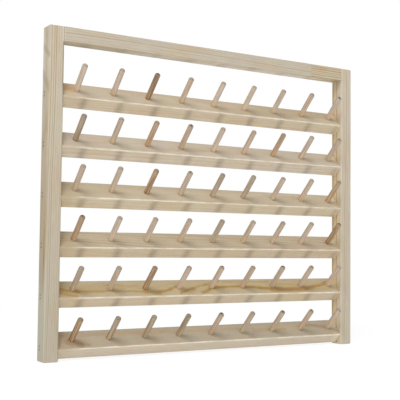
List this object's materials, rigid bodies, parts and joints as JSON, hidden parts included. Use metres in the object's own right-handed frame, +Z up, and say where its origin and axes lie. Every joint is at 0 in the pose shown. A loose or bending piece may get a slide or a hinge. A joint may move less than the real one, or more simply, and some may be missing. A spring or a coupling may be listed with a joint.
{
  "type": "thread rack",
  "caption": "Wall-hung wooden rack for thread spools: an open frame whose sloping slats carry rows of raised pegs.",
  "frame": {"origin": "centre of the centre keyhole's round entry, in the plane of the rack's flat back", "axes": "+X along the rack to the right as seen from the front, +Y back into the wall, +Z up; the pegs rise towards -Y and +Z"},
  "size_m": [0.4, 0.033, 0.34],
  "materials": {
    "frame_pine": "sanded, unfinished pine",
    "slat_pine": "sanded, unfinished pine",
    "peg_wood": "turned dowel, unfinished",
    "brad_steel": "plain wire",
    "plate_steel": "zinc plated sheet",
    "screw_steel": "yellow zinc"
  },
  "bodies": {
    "root": {"left_upright": "frame_pine", "right_upright": "frame_pine", "top_rail": "frame_pine", "slat_row_1": "slat_pine", "slat_row_2": "slat_pine", "slat_row_3": "slat_pine", "slat_row_4": "slat_pine", "slat_row_5": "slat_pine", "slat_row_6": "slat_pine", "pegs_row_1": "peg_wood", "pegs_row_2": "peg_wood", "pegs_row_3": "peg_wood", "pegs_row_4": "peg_wood", "pegs_row_5": "peg_wood", "pegs_row_6": "peg_wood", "brads_left": "brad_steel", "brads_right": "brad_steel", "keyhole_plate_left": "plate_steel", "keyhole_plate_centre": "plate_steel", "keyhole_plate_right": "plate_steel", "plate_screws": "screw_steel"}
  },
  "joints": []
}
